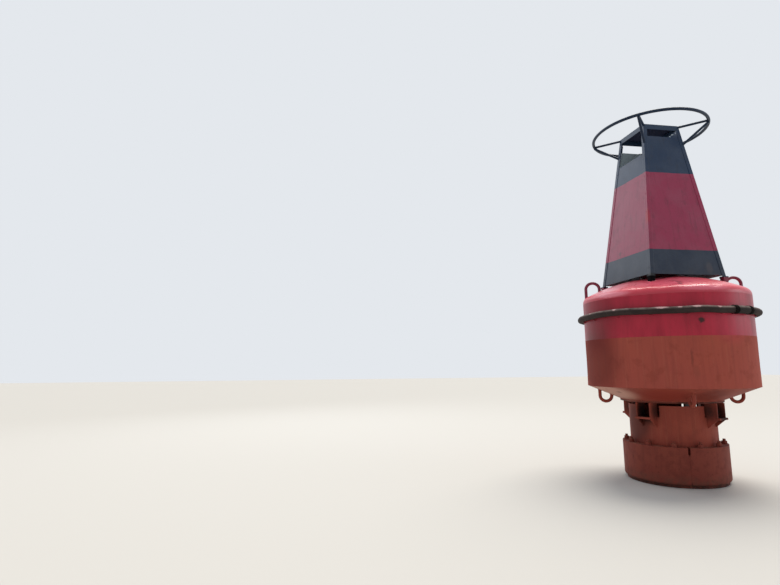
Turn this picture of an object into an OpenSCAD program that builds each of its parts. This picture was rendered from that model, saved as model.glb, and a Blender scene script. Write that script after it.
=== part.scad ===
// Steel navigation buoy stored ashore, standing on its cast iron ballast ring.
// A cylindrical float with a dished deck carries a square lattice tower clad in plates.
// Millimetres, +Z up, origin at the centre of the base on the ground. The four sides of
// the tower face -Y, +X, +Y and -X, numbered 0 to 3 in that order.

/* [Tail tube and base] */
// Radius of the base flange that the ballast stands on
base_r = 690; // [660:1:720]
// Thickness of the base flange
base_t = 40; // [25:1:60]
// Radius of the hole through the base flange
base_hole_r = 560; // [500:1:580]
// Outside radius of the tail tube
tail_r = 604; // [596:1:612]
// Wall of the tail tube
tail_wall = 12; // [8:1:20]
// Height of the tail tube above the base flange
tail_h = 1095; // [1000:1:1300]
// Gap between the top of the tail tube and the bottom of the hull
tail_gap = 45; // [30:1:80]

/* [Ballast] */
// Outside radius of the ballast ring
ballast_r = 726; // [710:1:760]
// Height of the ballast ring
ballast_h = 521; // [400:1:600]
// Radius that rounds the bottom edge of the ballast ring
ballast_edge = 36; // [10:1:60]
// Clearance between the ballast ring and the tail tube
ballast_clear = 3; // [1:1:8]
// Width of the seam between two ballast quarters
seam_w = 6; // [3:1:12]
// Width of the lifting slot at the top of each seam
slot_w = 30; // [16:1:50]
// Depth of the lifting slot
slot_h = 100; // [50:1:150]
// Number of tie bolts round the ballast
tie_count = 12; // [4:4:24]
// Distance that a tie bolt stands above the ballast
tie_stand = 74; // [60:1:110]
// Radius of a tie bolt
tie_r = 21; // [14:1:26]
// Size of a tie bolt nut across its flats
tie_nut_af = 68; // [54:1:80]
// Height of a tie bolt nut
tie_nut_h = 36; // [24:1:44]
// Radius of a tie bolt washer
tie_washer_r = 42; // [40:1:50]
// Thickness of a tie bolt washer
tie_washer_t = 8; // [4:1:12]

/* [Tail brackets] */
// Clear width between the two cheeks of a bracket
pocket_w = 190; // [150:1:230]
// Thickness of a cheek
cheek_t = 20; // [12:1:30]
// Width of the crevice between a cheek and the edge of the notch in the tube
crevice_w = 40; // [20:1:60]
// Depth of the notch in the top of the tube
notch_h = 165; // [120:1:220]
// Distance that a cheek stands out from the tube
cheek_out = 136; // [100:1:150]
// Distance that a cheek reaches into the tube
cheek_in = 32; // [15:1:40]
// Distance that the sill stands out from the tube
sill_out = 166; // [150:1:180]
// Thickness of the sill
sill_t = 30; // [15:1:40]
// Height of the gussets under the sill
gusset_h = 125; // [80:1:160]

/* [Hull] */
// Radius of the hull
hull_r = 1200; // [1190:1:1240]
// Radius of the band at the bottom of the hull
bottom_r = 720; // [710:1:740]
// Height of the band at the bottom of the hull
bottom_band_h = 30; // [15:1:50]
// Height of the conical bottom
cone_h = 204; // [180:1:240]
// Height of the straight side of the hull
side_h = 1350; // [1200:1:1500]
// Radius of the knuckle between the side and the deck
knuckle_r = 106; // [90:1:130]
// Radius of the dished deck
crown_r = 2550; // [2450:1:2700]
// Straight lip of the dished deck below its knuckle
deck_lip = 24; // [10:1:60]

/* [Eyes] */
// Radius of the bar of a mooring eye
moor_bar_r = 25; // [20:0.5:28]
// Radius of the bend of a mooring eye
moor_bend_r = 88; // [75:1:105]
// Distance of a mooring eye from the middle of the hull
moor_at = 950; // [930:1:970]
// Height of the bend centre of a mooring eye above the bottom of the hull
moor_up = 73; // [60:1:85]
// Radius of the bar of a lifting eye
lift_bar_r = 24; // [18:0.5:26]
// Radius of the bend of a lifting eye
lift_bend_r = 106; // [95:1:110]
// Distance of a lifting eye from the middle of the hull
lift_at = 1046; // [1030:1:1055]
// Height of the bend centre of a lifting eye above the shoulder of the hull
lift_up = 226; // [215:1:245]

/* [Fender] */
// Radius of the rubber hose fender
fender_r = 50; // [40:1:60]
// Distance of the fender below the shoulder of the hull
fender_drop = 272; // [200:1:400]
// Wall of the sleeve that joins the ends of the fender
sleeve_wall = 7; // [4:1:10]
// Angle that the sleeve covers
sleeve_angle = 17; // [10:1:24]
// Middle of the sleeve round the hull
sleeve_at = -73.5; // [-77:0.5:-70]
// Number of cleats above and below the fender
cleat_count = 16; // [8:4:24]
// Width of a cleat
cleat_w = 44; // [30:1:60]
// Distance that a cleat stands out from the hull
cleat_out = 26; // [16:1:34]
// Thickness of a cleat
cleat_t = 8; // [5:1:12]

/* [Hatch] */
// Radius of the hatch coaming in the middle of the deck
coaming_r = 260; // [220:1:300]
// Height of the coaming above the top of the deck
coaming_h = 60; // [40:1:120]
// Radius of the hatch cover
cover_r = 310; // [305:1:340]
// Thickness of the hatch cover
cover_t = 16; // [10:1:24]

/* [Tower feet] */
// Height of a foot above the deck under the corner of the tower
foot_h = 88; // [70:1:140]
// Width of the plates where a leg stands on its foot
foot_w = 84; // [82:1:110]
// Thickness of the plate on top of a foot, and of the plate under a leg
foot_t = 15; // [8:1:25]
// Width of the square post of a foot
pedestal_w = 80; // [60:1:82]
// Radius of the rounded edges of the post
pedestal_edge = 10; // [4:1:20]
// Distance that the plates of a foot stand out from the sides of the tower
foot_out = 22; // [5:1:40]

/* [Tower] */
// Width of the tower at its foot
tower_w0 = 1268; // [1240:1:1300]
// Width of the tower at its top
tower_w1 = 630; // [600:1:650]
// Height of the tower above its feet
tower_h = 2560; // [2400:1:2700]
// Width of the flanges of a leg
leg_w = 60; // [45:1:80]
// Thickness of a leg
leg_t = 6; // [5:1:10]
// Thickness of the cladding plates
panel_t = 5; // [3:1:8]
// Gap between the edges of two plates at a corner of the tower
panel_edge = 5; // [2:1:20]
// Height of the lower edge of the plates above the feet
panel_lift = 20; // [10:1:40]
// Window above the front and right plates, below the rim
slot_front_h = 124; // [80:1:160]
// Window above the back plate, below the rim
slot_back_h = 135; // [100:1:240]
// Window above the left plate, below the rim
slot_left_h = 430; // [340:1:460]
// Height of the rim round the top
rim_h = 80; // [60:1:110]
// Thickness of the rim
rim_t = 8; // [6:1:12]
// Thickness of the top plate
top_t = 8; // [6:1:14]
// Height of the horizontal rails behind the plates
rail_h = 60; // [40:1:80]
// Thickness of the rails
rail_t = 6; // [4:1:10]
// Height of the lower rail above the feet
rail_low_at = 410; // [350:1:600]
// Distance of the upper rail below the rim
rail_high_at = 759; // [600:1:1000]

/* [Lantern seat] */
// Pitch circle diameter of the lantern bolts
lantern_pcd = 200; // [150:1:300]
// Number of lantern bolts
lantern_count = 4; // [3:1:8]
// Radius of a lantern bolt hole
lantern_hole_r = 7; // [5:0.5:10]

/* [Guard ring] */
// Radius of the guard ring round the top of the tower
guard_r = 876; // [820:1:960]
// Radius of the bar of the guard ring
guard_bar_r = 24; // [18:0.5:28]
// Distance of the guard ring below the top of the tower
guard_drop = 22; // [20:1:40]
// Radius of the bars that carry the guard ring
strut_r = 19; // [14:0.5:20]
// Distance of the lower end of a brace below the guard ring
brace_drop = 327; // [280:1:360]

/* [Hidden] */
// Gap at which pieces are seated on curved or sloping faces
seat = 0.3;
$fn = 96;

// Heights, from the ground up
ballast_z1 = base_t + ballast_h;
tail_z1 = base_t + tail_h;
notch_z = tail_z1 - notch_h;
hull_z0 = tail_z1 + tail_gap;
cone_z = hull_z0 + bottom_band_h;
side_z = cone_z + cone_h;
shoulder_z = side_z + side_h;
crown_z = shoulder_z - sqrt(pow(crown_r - knuckle_r, 2) - pow(hull_r - knuckle_r, 2));
deck_top_z = crown_z + crown_r;
deck_z0 = shoulder_z - deck_lip;
fender_z = shoulder_z - fender_drop;
cover_z = deck_top_z + coaming_h;

// The deck slopes away under the corners of the tower, where the feet stand
corner_r = tower_w0 / 2 * sqrt(2);
foot_z1 = crown_z + sqrt(pow(crown_r, 2) - pow(corner_r, 2)) + foot_h;
leg_z0 = foot_z1 + foot_t;
tower_z1 = leg_z0 + tower_h;
top_z0 = tower_z1 - top_t;
rim_z0 = top_z0 - rim_h;
guard_z = tower_z1 - guard_drop;

// The sides of the tower lean in by this angle
lean = atan((tower_w0 - tower_w1) / 2 / tower_h);
corner_slope = (tower_w0 - tower_w1) / 2 / tower_h;

// Places round the hull
bracket_at = [-157.5, -67.5, 22.5, 112.5];
moor_eye_at = [-111, -21, 69, 159];
lift_eye_at = [157.5, -22.5];
seam_at = -112.5;
tie_at = 22.5;
quarter = 90;
corners = 4;

// Height of the conical bottom at a distance from the middle
function cone_at(r) = cone_z + (r - bottom_r) / (hull_r - bottom_r) * cone_h;

// Width of half of the tower at a height
function half_w(z) = tower_w0 / 2 - (z - leg_z0) * corner_slope;

// A full round bar bent into a U, open upwards, with legs of the given length
module u_bar(bar_r, bend_r, leg_h) {
    rotate([-90, 0, 0])
        rotate_extrude(angle = 180)
            translate([bend_r, 0])
                circle(r = bar_r, $fn = 40);
    for (side = [-1, 1])
        translate([side * bend_r, 0, 0])
            cylinder(h = leg_h, r = bar_r, $fn = 40);
}

// Outlines turned into the three pieces of the hull
module bottom_outline() {
    polygon([
        [0, hull_z0], [bottom_r, hull_z0], [bottom_r, cone_z],
        [hull_r, side_z], [0, side_z]
    ]);
}

module deck_outline() {
    intersection() {
        union() {
            translate([0, deck_z0])
                square([hull_r, deck_lip]);
            translate([hull_r - knuckle_r, shoulder_z])
                circle(r = knuckle_r);
            intersection() {
                translate([0, crown_z])
                    circle(r = crown_r, $fn = 360);
                polygon([
                    [0, crown_z],
                    [(hull_r - knuckle_r) * 2, crown_z + (shoulder_z - crown_z) * 2],
                    [0, crown_z + crown_r * 2]
                ]);
            }
        }
        translate([0, deck_z0])
            square([hull_r, crown_r]);
    }
}

// Places its children on one side of the tower: x along the side, y up its slope from the
// feet, and z outwards from the face of the legs
module on_side(side) {
    rotate([0, 0, quarter * side])
        translate([0, -tower_w0 / 2, leg_z0])
            rotate([90 - lean, 0, 0])
                children();
}

// Length up the slope for a height above the feet
function up(z) = (z - leg_z0) / cos(lean);

// A plate on one side, between two heights, set back from the face and in from the corners
module side_plate(side, z0, z1, thick, back, inset) {
    on_side(side)
        translate([0, 0, -back - thick])
            linear_extrude(thick)
                polygon([
                    [-half_w(z0) + inset, up(z0)], [half_w(z0) - inset, up(z0)],
                    [half_w(z1) - inset, up(z1)], [-half_w(z1) + inset, up(z1)]
                ]);
}

// Cuts its children level at two heights
module level_cut(z0, z1) {
    intersection() {
        children();
        translate([-tower_w0, -tower_w0, z0])
            cube([2 * tower_w0, 2 * tower_w0, z1 - z0]);
    }
}

// One flange of a corner leg, on the given side, at its end towards -x or +x
module leg_flange(side, end) {
    z0 = leg_z0 - leg_t;
    z1 = rim_z0 + leg_t;
    on_side(side)
        translate([0, 0, -leg_t])
            linear_extrude(leg_t)
                polygon([
                    for (z = [z0, z1]) [end * half_w(z), up(z)],
                    for (z = [z1, z0]) [end * (half_w(z) - leg_w), up(z)]
                ]);
}

// The space behind the face of one side of the tower
module behind_side(side) {
    reach = tower_w0;
    on_side(side)
        translate([-reach, -reach, seat - reach])
            cube([2 * reach, tower_h + 2 * reach, reach]);
}

module base_flange() {
    color("saddlebrown")
        difference() {
            cylinder(h = base_t, r = base_r);
            translate([0, 0, -1])
                cylinder(h = base_t + 2, r = base_hole_r);
        }
}

module tail_tube() {
    notch_w = pocket_w + 2 * (cheek_t + crevice_w);
    color("indianred")
        difference() {
            translate([0, 0, base_t])
                cylinder(h = tail_h, r = tail_r);
            translate([0, 0, base_t - 1])
                cylinder(h = tail_h + 2, r = tail_r - tail_wall);
            for (a = bracket_at)
                rotate([0, 0, a])
                    translate([tail_r / 2, -notch_w / 2, notch_z])
                        cube([tail_r, notch_w, notch_h + 1]);
        }
}

// A quarter of the ballast ring, with half a lifting slot at each end
module ballast_quarter(i) {
    color("brown")
        rotate([0, 0, seam_at + quarter * i])
            difference() {
                translate([0, 0, base_t])
                    rotate_extrude(angle = quarter)
                        difference() {
                            translate([tail_r + ballast_clear, 0])
                                square([ballast_r - tail_r - ballast_clear, ballast_h]);
                            translate([ballast_r - ballast_edge, 0])
                                difference() {
                                    translate([0, -1])
                                        square([ballast_edge + 1, ballast_edge + 1]);
                                    translate([0, ballast_edge])
                                        circle(r = ballast_edge, $fn = 48);
                                }
                        }
                for (end = [0, quarter])
                    rotate([0, 0, end])
                        translate([tail_r - 1, 0, 0]) {
                            translate([0, -seam_w / 2, base_t - 1])
                                cube([ballast_r, seam_w, ballast_h + 2]);
                            translate([0, -slot_w / 2, ballast_z1 - slot_h])
                                cube([ballast_r, slot_w, slot_h + 1]);
                        }
            }
}

// Washer, nut and bolt end of each tie bolt, standing on the ballast
module tie_bolts() {
    color("sienna")
        for (i = [0:tie_count - 1])
            rotate([0, 0, tie_at + 360 / tie_count * i])
                translate([(tail_r + ballast_clear + ballast_r) / 2, 0, ballast_z1]) {
                    cylinder(h = tie_washer_t, r = tie_washer_r, $fn = 32);
                    cylinder(h = tie_washer_t + tie_nut_h, d = tie_nut_af / cos(30), $fn = 6);
                    cylinder(h = tie_stand, r = tie_r, $fn = 24);
                }
}

// Two cheeks that pass through the notch in the tube, a sill between them and two gussets
module bracket(i) {
    cheek_x = tail_r - tail_wall - cheek_in;
    outer_w = pocket_w + 2 * cheek_t;
    sill_z = notch_z - sill_t;
    color("rosybrown")
        rotate([0, 0, bracket_at[i]])
            difference() {
                union() {
                    for (side = [0, 1])
                        translate([0, side * (pocket_w + cheek_t) - outer_w / 2, 0]) {
                            translate([cheek_x, 0, notch_z])
                                cube([tail_r + cheek_out - cheek_x, cheek_t, hull_z0 - notch_z]);
                            translate([0, cheek_t, 0])
                                rotate([90, 0, 0])
                                    linear_extrude(cheek_t)
                                        polygon([
                                            [tail_r - tail_wall, sill_z - gusset_h],
                                            [tail_r + cheek_out, sill_z],
                                            [tail_r + cheek_out, notch_z],
                                            [tail_r - tail_wall, notch_z]
                                        ]);
                        }
                    translate([tail_r - tail_wall, -outer_w / 2, sill_z])
                        cube([tail_wall + sill_out, outer_w, sill_t]);
                }
                rotate([0, 0, -bracket_at[i]])
                    translate([0, 0, sill_z - gusset_h - 1])
                        cylinder(h = gusset_h + sill_t + 1, r = tail_r + seat);
            }
}

module hull_bottom() {
    color("firebrick")
        rotate_extrude()
            bottom_outline();
}

module hull_side() {
    color("firebrick")
        translate([0, 0, side_z])
            cylinder(h = deck_z0 - side_z, r = hull_r, $fn = 180);
}

module hull_deck() {
    color("crimson")
        rotate_extrude()
            deck_outline();
}

// A bent bar under the conical bottom, in line with the middle of the hull
module mooring_eye(i) {
    bend_z = hull_z0 + moor_up;
    leg_h = cone_at(moor_at + moor_bend_r + moor_bar_r) - bend_z;
    color("firebrick")
        difference() {
            rotate([0, 0, moor_eye_at[i]])
                translate([moor_at, 0, bend_z])
                    u_bar(moor_bar_r, moor_bend_r, leg_h);
            translate([0, 0, -seat])
                rotate_extrude()
                    bottom_outline();
        }
}

// A bent bar on the deck, upside down to the mooring eyes
module lifting_eye(i) {
    color("crimson")
        difference() {
            rotate([0, 0, lift_eye_at[i]])
                translate([lift_at, 0, shoulder_z + lift_up])
                    mirror([0, 0, 1])
                        u_bar(lift_bar_r, lift_bend_r, lift_up);
            translate([0, 0, seat])
                rotate_extrude()
                    deck_outline();
        }
}

module fender_hose() {
    color("dimgray")
        translate([0, 0, fender_z])
            rotate_extrude($fn = 180)
                translate([hull_r + seat + fender_r, 0])
                    circle(r = fender_r, $fn = 48);
}

// The sleeve is open towards the hull, clear of the cleats
module fender_sleeve() {
    color("black")
        translate([0, 0, fender_z])
            rotate([0, 0, sleeve_at - sleeve_angle / 2])
                rotate_extrude(angle = sleeve_angle)
                    difference() {
                        translate([hull_r + seat + fender_r, 0])
                            circle(r = fender_r + sleeve_wall, $fn = 48);
                        translate([hull_r + seat + fender_r, 0])
                            circle(r = fender_r + seat, $fn = 48);
                        translate([hull_r - fender_r, -fender_r * 2])
                            square([fender_r + cleat_out + seat, fender_r * 4]);
                    }
}

// Short tabs welded to the side, just above and just below the hose
module fender_cleats() {
    color("firebrick")
        for (i = [0:cleat_count - 1], side = [-1, 1])
            difference() {
                rotate([0, 0, 360 / cleat_count * i])
                    translate([hull_r / 2, -cleat_w / 2, fender_z + side * (fender_r + seat)])
                        translate([0, 0, side < 0 ? -cleat_t : 0])
                            cube([hull_r / 2 + cleat_out, cleat_w, cleat_t]);
                translate([0, 0, fender_z - fender_r * 2])
                    cylinder(h = fender_r * 4, r = hull_r + seat, $fn = 360);
            }
}

module hatch_coaming() {
    color("crimson")
        difference() {
            translate([0, 0, shoulder_z])
                cylinder(h = cover_z - shoulder_z, r = coaming_r);
            translate([0, 0, seat])
                rotate_extrude()
                    deck_outline();
        }
}

module hatch_cover() {
    color("crimson")
        translate([0, 0, cover_z])
            cylinder(h = cover_t, r = cover_r);
}

// Outline of a square post with rounded edges
module post_outline() {
    inner_w = pedestal_w - 2 * pedestal_edge;
    square([pedestal_w, inner_w], center = true);
    square([inner_w, pedestal_w], center = true);
    for (x = [-1, 1], y = [-1, 1])
        translate([x * inner_w / 2, y * inner_w / 2])
            circle(r = pedestal_edge, $fn = 32);
}

// Places its children over one foot, under a corner of the tower
module on_foot(i) {
    middle = tower_w0 / 2 + foot_out - foot_w / 2;
    rotate([0, 0, quarter * i])
        translate([-middle, -middle, 0])
            children();
}

// A square plate of a foot or a leg
module foot_plate(z0) {
    translate([-foot_w / 2, -foot_w / 2, z0])
        cube([foot_w, foot_w, foot_t]);
}

// A post cut to the slope of the deck, with a plate on top
module foot(i) {
    color("crimson")
        difference() {
            on_foot(i) {
                foot_plate(foot_z1 - foot_t);
                translate([0, 0, shoulder_z])
                    linear_extrude(foot_z1 - shoulder_z)
                        post_outline();
            }
            translate([0, 0, seat])
                rotate_extrude()
                    deck_outline();
        }
}

// An angle of two flanges on a plate that is bolted to the foot
module leg(i) {
    color("darkslategray") {
        level_cut(leg_z0, rim_z0) {
            leg_flange(i, -1);
            leg_flange(i + 3, 1);
        }
        on_foot(i)
            foot_plate(foot_z1);
    }
}

// A cladding plate behind the legs, from just above the feet to the window under the rim
module panel(side, window_h) {
    inset = leg_t + panel_t + panel_edge;
    side_plate(side, leg_z0 + panel_lift, rim_z0 - window_h, panel_t, leg_t + seat, inset);
}

module panel_front() {
    color("maroon")
        panel(0, slot_front_h);
}

module panel_right() {
    color("maroon")
        panel(1, slot_front_h);
}

module panel_back() {
    color("maroon")
        panel(2, slot_back_h);
}

module panel_left() {
    color("maroon")
        panel(3, slot_left_h);
}

// Four flat bars across the backs of the plates
module rails(z) {
    back = leg_t + panel_t + 2 * seat;
    color("dimgray")
        for (side = [0:corners - 1])
            side_plate(side, z, z + rail_h, rail_t, back, back + rail_t + panel_edge);
}

// A band of flat bar round the top, on the ends of the legs
module rim() {
    color("darkslategray")
        level_cut(rim_z0, top_z0)
            for (side = [0:corners - 1])
                side_plate(side, rim_z0 - rim_t, top_z0 + rim_t, rim_t, 0, 0);
}

module top_plate() {
    color("darkslategray")
        difference() {
            translate([-tower_w1 / 2, -tower_w1 / 2, top_z0])
                cube([tower_w1, tower_w1, top_t]);
            for (i = [0:lantern_count - 1])
                rotate([0, 0, 360 / lantern_count * (i + 0.5)])
                    translate([lantern_pcd / 2, 0, top_z0 - 1])
                        cylinder(h = top_t + 2, r = lantern_hole_r);
        }
}

module guard_outline(extra) {
    translate([0, 0, guard_z])
        rotate_extrude($fn = 180)
            translate([guard_r, 0])
                circle(r = guard_bar_r + extra, $fn = 32);
}

module guard_ring() {
    color("darkslategray")
        guard_outline(0);
}

// A round bar from a corner of the tower, at one height, to the guard ring, at another
module guard_rod(i, z, ring_z, rod_r) {
    start_r = half_w(z) * sqrt(2) - strut_r * 2;
    rise = ring_z - z;
    run = guard_r - start_r;
    rotate([0, 0, quarter * i - 135])
        translate([start_r, 0, z])
            rotate([0, 90 - atan(rise / run), 0])
                cylinder(h = sqrt(rise * rise + run * run), r = rod_r, $fn = 32);
}

// What is left of a round bar once it is cut to fit the corner of the tower and the ring
module guard_bar(i, z, ring_z) {
    difference() {
        guard_rod(i, z, ring_z, strut_r);
        intersection() {
            behind_side(i);
            behind_side(i + 3);
        }
        guard_outline(seat);
    }
}

module guard_struts() {
    color("darkslategray")
        for (i = [0:corners - 1])
            guard_bar(i, guard_z, guard_z);
}

// The braces meet the ring from below and are cut to clear the struts
module guard_braces() {
    color("darkslategray")
        for (i = [0:corners - 1])
            difference() {
                guard_bar(i, guard_z - brace_drop, guard_z - guard_bar_r);
                guard_rod(i, guard_z, guard_z, strut_r + seat);
            }
}

base_flange();
tail_tube();
ballast_quarter(0);  // ballast_1
ballast_quarter(1);  // ballast_2
ballast_quarter(2);  // ballast_3
ballast_quarter(3);  // ballast_4
tie_bolts();
bracket(0);  // bracket_1
bracket(1);  // bracket_2
bracket(2);  // bracket_3
bracket(3);  // bracket_4
hull_bottom();
hull_side();
hull_deck();
mooring_eye(0);  // mooring_eye_1
mooring_eye(1);  // mooring_eye_2
mooring_eye(2);  // mooring_eye_3
mooring_eye(3);  // mooring_eye_4
lifting_eye(0);  // lifting_eye_1
lifting_eye(1);  // lifting_eye_2
fender_hose();
fender_sleeve();
fender_cleats();
hatch_coaming();
hatch_cover();
foot(0);  // foot_1
foot(1);  // foot_2
foot(2);  // foot_3
foot(3);  // foot_4
leg(0);  // leg_1
leg(1);  // leg_2
leg(2);  // leg_3
leg(3);  // leg_4
panel_front();
panel_right();
panel_back();
panel_left();
rails(leg_z0 + rail_low_at);  // rail_low
rails(rim_z0 - rail_high_at);  // rail_high
rim();
top_plate();
guard_ring();
guard_struts();
guard_braces();
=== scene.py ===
# A steel navigation buoy stored ashore, which stands on its cast iron ballast.
# Metres, +Z up, with the middle of the base on the ground at the origin. The four sides of the
# tower face -Y, +X, +Y and -X, numbered 0 to 3. A bearing is an angle from +X towards +Y.
import math

import bmesh
import bpy
import numpy as np
from mathutils import Matrix, Vector


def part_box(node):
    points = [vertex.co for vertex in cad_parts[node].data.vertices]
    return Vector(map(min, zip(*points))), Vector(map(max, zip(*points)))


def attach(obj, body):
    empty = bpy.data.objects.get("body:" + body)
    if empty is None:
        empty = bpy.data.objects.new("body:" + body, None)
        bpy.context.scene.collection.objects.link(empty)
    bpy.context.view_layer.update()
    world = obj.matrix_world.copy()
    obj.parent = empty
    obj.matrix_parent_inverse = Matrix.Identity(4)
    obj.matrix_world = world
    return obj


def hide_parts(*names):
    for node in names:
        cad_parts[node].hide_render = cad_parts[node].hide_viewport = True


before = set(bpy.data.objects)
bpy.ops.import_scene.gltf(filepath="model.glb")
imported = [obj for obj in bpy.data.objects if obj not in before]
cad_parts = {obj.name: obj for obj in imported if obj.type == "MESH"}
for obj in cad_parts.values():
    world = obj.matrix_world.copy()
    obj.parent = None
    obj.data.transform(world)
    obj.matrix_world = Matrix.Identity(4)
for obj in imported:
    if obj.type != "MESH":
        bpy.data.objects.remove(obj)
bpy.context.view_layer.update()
scene = bpy.context.scene
scene.view_settings.view_transform = "Standard"


# The camera stands 9.3 m from the buoy, at the eye height of someone who walks past. It looks
# a little up, and past the buoy's left side, so that the buoy stands at the right.
def brought(name, data):
    """An object that holds a mesh, lamp or camera, in the scene."""
    thing = bpy.data.objects.new(name, data)
    scene.collection.objects.link(thing)
    return thing


camera_at = (-5.6495, -7.4165, 1.7625)
camera_heading = math.radians(9.076)
camera_tilt = math.radians(8.113)
camera_roll = math.radians(-0.432)
camera_data = bpy.data.cameras.new("camera")
camera_data.sensor_width = 36.0
camera_data.lens = 23.56
camera = brought("camera", camera_data)
camera.matrix_world = (
    Matrix.Translation(camera_at)
    @ Matrix.Rotation(-camera_heading, 4, "Z")
    @ Matrix.Rotation(math.radians(90) + camera_tilt, 4, "X")
    @ Matrix.Rotation(camera_roll, 4, "Z")
)
scene.camera = camera


# The base is a ring of thick plate, and the tail tube on it is rolled from thinner plate, with
# four notches in its top for the brackets. Both are brushed with brown-red antifouling paint,
# which dries matt, fades in patches and carries streaks of rain.
def tint(code):
    """Turns an sRGB hex colour into the linear one that a socket takes."""
    parts = [int(code[at : at + 2], 16) / 255 for at in (1, 3, 5)]
    linear = [p / 12.92 if p <= 0.04045 else ((p + 0.055) / 1.055) ** 2.4 for p in parts]
    return (*linear, 1.0)


def grain(mm):
    """The texture scale at which the patches of a pattern are about this wide."""
    return 1000.0 / mm


def add(tree, kind, inputs=None, **settings):
    """Adds a node. An input gets a value, an output, or a node that gives its first output."""
    node = tree.nodes.new(kind)
    for name, value in settings.items():
        setattr(node, name, value)
    for name, value in (inputs or {}).items():
        if isinstance(value, bpy.types.Node):
            value = value.outputs[0]
        if isinstance(value, bpy.types.NodeSocket):
            tree.links.new(value, node.inputs[name])
        else:
            node.inputs[name].default_value = value
    return node


def around(bearing, radius, height):
    """The point at a bearing in degrees, at a radius and a height in metres."""
    angle = math.radians(bearing)
    return (radius * math.cos(angle), radius * math.sin(angle), height)


def blank(name):
    """A new material with an empty node tree."""
    material = bpy.data.materials.new(name)
    material.use_nodes = True
    material.node_tree.nodes.clear()
    return material


def painted(name, bands, layers, roughness, gloss=0.5, marks=()):
    """Paint on metal, what has happened to it since, and some painted light and shade.

    bands: (upper edge in metres, colour) from the ground up; the last edge isn't used.
    layers: (patch in mm, times taller than wide, noise at which it sets in, noise at which it
    is full, colour, cover, roughness, relief in mm, where), where "top" or "under" is on faces
    that look up or down, a pair of heights is from none to full, and None is all over.
    marks: (place, half width, half height, colour, cover), each a single stain, scrape, or patch of painted
    light or shade.
    """
    wander = 0.012
    blur = 0.0015
    smear = 0.03
    material = blank(name)
    tree = material.node_tree
    place = add(tree, "ShaderNodeTexCoord").outputs["Object"]
    height = add(tree, "ShaderNodeSeparateXYZ", {"Vector": place}).outputs["Z"]
    facing = add(tree, "ShaderNodeNewGeometry").outputs["Normal"]
    upward = add(tree, "ShaderNodeSeparateXYZ", {"Vector": facing}).outputs["Z"]
    facings = {"top": (upward, 0.25, 0.9), "under": (upward, -0.25, -0.8)}
    tape = add(tree, "ShaderNodeTexNoise", {"Vector": place, "Scale": grain(240)})
    line = add(tree, "ShaderNodeMath", {0: tape, 1: wander, 2: height}, operation="MULTIPLY_ADD")
    colour = tint(bands[0][1])
    for (top, _), (_, above) in zip(bands, bands[1:]):
        middle = top + wander / 2
        edge = {"Value": line, "From Min": middle - blur, "From Max": middle + blur}
        past = add(tree, "ShaderNodeMapRange", edge)
        blend = add(tree, "ShaderNodeMix", {0: past, 6: colour, 7: tint(above)}, data_type="RGBA")
        colour = blend.outputs[2]
    rough = roughness
    relief = 0.0
    for turn, (mm, taller, sets_in, full, shade, cover, matt, thick, where) in enumerate(layers):
        stretch = {0: place, 1: (1.0, 1.0, 1.0 / taller), 2: (turn * 3.7, turn * 1.9, 0.0)}
        at = add(tree, "ShaderNodeVectorMath", stretch, operation="MULTIPLY_ADD")
        patches = {"Vector": at, "Scale": grain(mm), "Detail": 5.0, "Roughness": 0.6}
        cloud = add(tree, "ShaderNodeTexNoise", patches)
        onset = {"Value": cloud, "From Min": sets_in, "From Max": full, "To Max": cover}
        mask = add(tree, "ShaderNodeMapRange", onset)
        if where is not None:
            source, low, high = facings[where] if where in facings else (height, *where)
            reach = {"Value": source, "From Min": low, "From Max": high}
            share = add(tree, "ShaderNodeMapRange", reach)
            mask = add(tree, "ShaderNodeMath", {0: mask, 1: share}, operation="MULTIPLY")
        blend = add(tree, "ShaderNodeMix", {0: mask, 6: colour, 7: tint(shade)}, data_type="RGBA")
        colour = blend.outputs[2]
        rough = add(tree, "ShaderNodeMix", {0: mask, 2: rough, 3: matt})
        raised = {0: mask, 1: thick, 2: relief}
        relief = add(tree, "ShaderNodeMath", raised, operation="MULTIPLY_ADD")
    if marks:
        ragged = add(tree, "ShaderNodeTexNoise", {"Vector": place, "Scale": grain(30)})
        shift = {0: ragged.outputs["Color"], 1: (smear, smear, smear), 2: place}
        moved = add(tree, "ShaderNodeVectorMath", shift, operation="MULTIPLY_ADD")
    for centre, across, up, shade, cover in marks:
        shifted = tuple(part + smear / 2 for part in centre)
        away = add(tree, "ShaderNodeVectorMath", {0: moved, 1: shifted}, operation="SUBTRACT")
        size = (across, across, up)
        share = add(tree, "ShaderNodeVectorMath", {0: away, 1: size}, operation="DIVIDE")
        far = add(tree, "ShaderNodeVectorMath", {0: share}, operation="LENGTH").outputs["Value"]
        fade = {"Value": far, "From Min": 1.2, "From Max": 0.5, "To Max": cover}
        mask = add(tree, "ShaderNodeMapRange", fade, interpolation_type="SMOOTHSTEP")
        blend = add(tree, "ShaderNodeMix", {0: mask, 6: colour, 7: tint(shade)}, data_type="RGBA")
        colour = blend.outputs[2]
    bump = add(tree, "ShaderNodeBump", {"Height": relief, "Distance": 0.001})
    finish = {"Base Color": colour, "Roughness": rough, "Normal": bump, "Specular IOR Level": gloss}
    shader = add(tree, "ShaderNodeBsdfPrincipled", finish)
    add(tree, "ShaderNodeOutputMaterial", {"Surface": shader})
    return material


def coated(nodes, material):
    """Gives CAD nodes that keep their own mesh this material."""
    for node in nodes:
        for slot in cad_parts[node].material_slots:
            slot.material = material


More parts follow.
